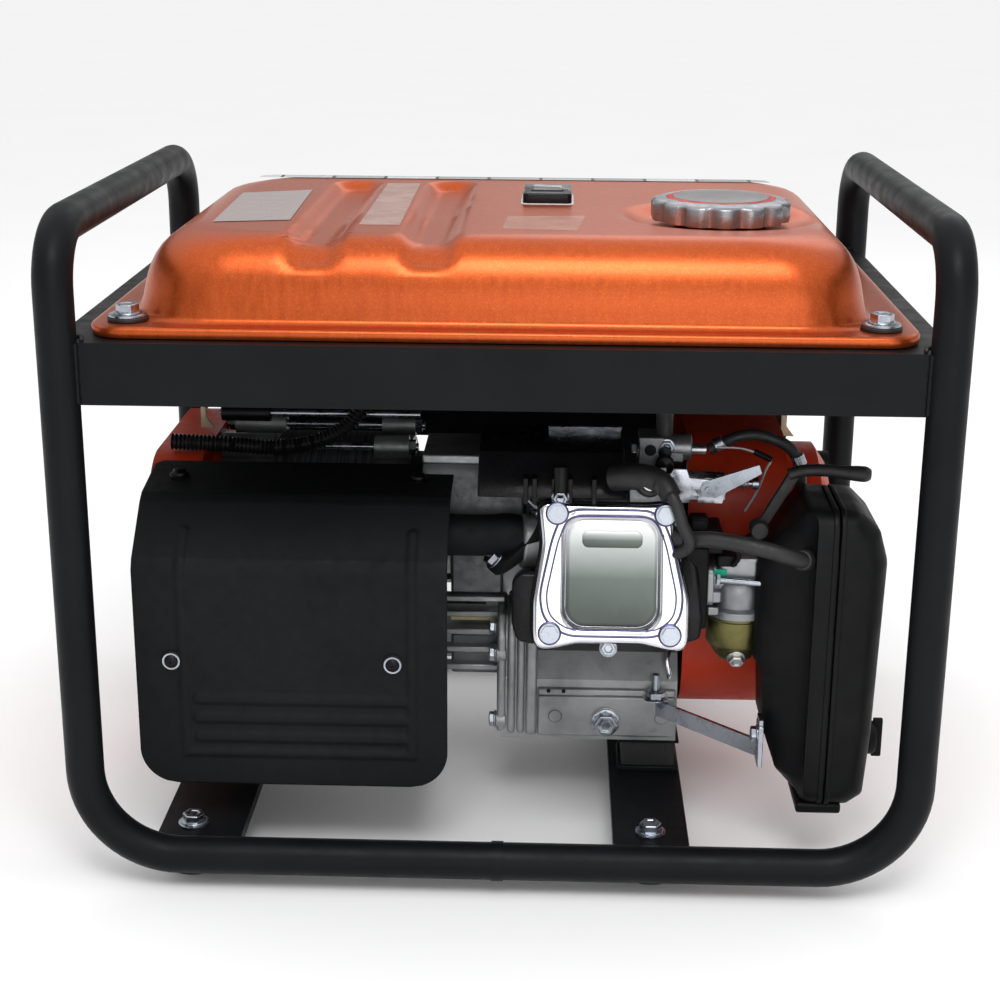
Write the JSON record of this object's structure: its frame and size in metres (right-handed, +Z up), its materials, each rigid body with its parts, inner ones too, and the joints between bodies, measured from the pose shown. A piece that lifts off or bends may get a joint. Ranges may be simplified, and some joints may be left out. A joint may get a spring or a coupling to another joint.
{
  "type": "portable generator",
  "caption": "Open-frame petrol generator: bent-tube frame, orange pressed tank, tilted single-cylinder engine, shielded muffler, side air cleaner and rear control panel.",
  "frame": {"origin": "on the ground under the middle of the frame, level with the undersides of the rubber feet", "axes": "+X along the crankshaft towards the recoil starter, +Y towards the control panel, +Z up; the muffler and rocker cover face -Y"},
  "size_m": [0.5814, 0.432, 0.4606],
  "materials": {
    "frame_black": "satin black powder coat",
    "tank_orange": "metallic orange enamel over pressed steel",
    "shroud_red": "satin red-orange enamel",
    "matte_black_sheet": "matte heat-resistant black paint",
    "cast_aluminium": "sand-cast, lightly oxidised",
    "bright_steel": "machined steel",
    "zinc": "bright zinc plate",
    "yellow_zinc": "yellow chromate plate",
    "chrome": "mirror chrome plate",
    "cast_iron": "machined cast iron",
    "lamination": "varnished electrical steel",
    "rubber": "moulded black rubber",
    "black_plastic": "textured black moulding",
    "gloss_black": "smooth black moulding",
    "red_plastic": "smooth red moulding",
    "foam": "oiled open-cell filter foam",
    "ceramic": "glazed white insulator",
    "rope": "braided starter cord"
  },
  "bodies": {
    "chassis": {"frame_left": "frame_black", "frame_right": "frame_black", "cross_members": "frame_black", "rubber_feet": "rubber", "hex_bolts": "zinc", "vibration_mounts": "rubber", "tank_rails_long": "frame_black", "tank_rails_side": "frame_black", "tank_upper": "tank_orange", "tank_lower": "matte_black_sheet", "tank_grommets": "rubber", "tank_bolts": "zinc", "fuel_gauge": "gloss_black", "fuel_valve": "cast_aluminium", "fuel_hose": "rubber", "crankcase": "cast_aluminium", "crankcase_cover": "cast_aluminium", "cylinder": "cast_aluminium", "cylinder_head": "cast_aluminium", "rocker_cover": "chrome", "fan_shroud": "shroud_red", "cooling_duct": "black_plastic", "recoil_cover": "shroud_red", "carburettor": "cast_aluminium", "float_bowl": "yellow_zinc", "intake_insulator": "black_plastic", "engine_brackets": "zinc", "air_cleaner_base": "black_plastic", "filter_element": "foam", "breather_hose": "rubber", "spark_plug": "ceramic", "plug_cap": "rubber", "muffler": "matte_black_sheet", "muffler_shield": "matte_black_sheet", "stator": "lamination", "alternator_bells": "cast_aluminium", "alternator_cover": "shroud_red", "wiring_conduit": "black_plastic", "control_box": "matte_black_sheet", "control_panel": "matte_black_sheet", "panel_fittings": "gloss_black"},
    "crank": {"crankshaft": "cast_iron", "flywheel": "cast_iron", "rotor": "lamination"},
    "camshaft": {"camshaft": "cast_iron"},
    "piston": {"piston": "cast_aluminium", "connecting_rod": "cast_aluminium"},
    "recoil_reel": {"recoil_reel": "black_plastic"},
    "pull_handle": {"pull_handle": "black_plastic"},
    "rope_middle": {"pull_rope_middle": "rope"},
    "cap_insert": {"fuel_cap_insert": "black_plastic"},
    "cap_shell": {"fuel_cap_shell": "bright_steel"},
    "fuel_valve_lever": {"fuel_valve_lever": "red_plastic"},
    "choke_lever": {"choke_lever": "black_plastic"},
    "throttle_lever": {"throttle_lever": "zinc"},
    "air_cover": {"air_cleaner_cover": "black_plastic"},
    "air_knob": {"air_cleaner_knob": "black_plastic"},
    "oil_cap": {"oil_filler_cap": "black_plastic"},
    "engine_switch": {"engine_switch": "red_plastic"},
    "main_breaker": {"main_breaker": "gloss_black"}
  },
  "joints": [
    {"name": "crank_spin", "type": "hinge", "parent": "chassis", "child": "crank", "pos_m": [0.05, 0.032, 0.162], "axis": [1, 0, 0], "continuous": true},
    {"name": "cam_spin", "type": "hinge", "parent": "chassis", "child": "camshaft", "pos_m": [0.05, 0.052, 0.105], "axis": [1, 0, 0], "continuous": true},
    {"name": "piston_slide", "type": "slide", "parent": "chassis", "child": "piston", "axis": [0, -0.9613, 0.2756], "range_m": [-0.027, 0.027]},
    {"name": "handle_pull", "type": "slide", "parent": "chassis", "child": "pull_handle", "axis": [0, 1, 0], "range_m": [0, 0.26], "stiffness_N_per_m": 30, "springref_m": -0.1},
    {"name": "rope_feed", "type": "slide", "parent": "chassis", "child": "rope_middle", "axis": [0, 1, 0], "range_m": [0, 0.13]},
    {"name": "reel_spin", "type": "hinge", "parent": "chassis", "child": "recoil_reel", "pos_m": [0.221, 0.032, 0.162], "axis": [-1, 0, 0], "range_deg": [0, 301.95]},
    {"name": "cap_lift", "type": "slide", "parent": "chassis", "child": "cap_insert", "axis": [0, 0, 1], "range_m": [0, 0.08]},
    {"name": "cap_turn", "type": "hinge", "parent": "cap_insert", "child": "cap_shell", "pos_m": [0.146, -0.048, 0.44], "axis": [0, 0, 1], "range_deg": [0, 90]},
    {"name": "fuel_valve_turn", "type": "hinge", "parent": "chassis", "child": "fuel_valve_lever", "pos_m": [0.111, -0.095, 0.282], "axis": [0, 1, 0], "range_deg": [0, 90]},
    {"name": "choke_turn", "type": "hinge", "parent": "chassis", "child": "choke_lever", "pos_m": [0.174, -0.13, 0.24], "axis": [0, -1, 0], "range_deg": [0, 45]},
    {"name": "throttle_turn", "type": "hinge", "parent": "chassis", "child": "throttle_lever", "pos_m": [0.14, -0.114, 0.262], "axis": [0, -1, 0], "range_deg": [0, 30]},
    {"name": "air_cover_pull", "type": "slide", "parent": "chassis", "child": "air_cover", "axis": [1, 0, 0], "range_m": [0, 0.05]},
    {"name": "air_knob_turn", "type": "hinge", "parent": "air_cover", "child": "air_knob", "pos_m": [0.262, -0.132, 0.088], "axis": [1, 0, 0], "range_deg": [0, 720]},
    {"name": "oil_cap_turn", "type": "hinge", "parent": "chassis", "child": "oil_cap", "pos_m": [0.011, 0.13, 0.095], "axis": [0, 1, 0], "range_deg": [0, 720]},
    {"name": "engine_switch_rock", "type": "hinge", "parent": "chassis", "child": "engine_switch", "pos_m": [0.13, 0.194, 0.282], "axis": [1, 0, 0], "range_deg": [0, 24]},
    {"name": "main_breaker_flip", "type": "hinge", "parent": "chassis", "child": "main_breaker", "pos_m": [0.06, 0.194, 0.282], "axis": [1, 0, 0], "range_deg": [0, 30]}
  ],
  "couplings": [
    {"joint": "cam_spin", "follows": "crank_spin", "ratio": -0.5},
    {"joint": "rope_feed", "follows": "handle_pull", "ratio": 0.5},
    {"joint": "reel_spin", "follows": "handle_pull", "rad_per_m": 20.202}
  ]
}
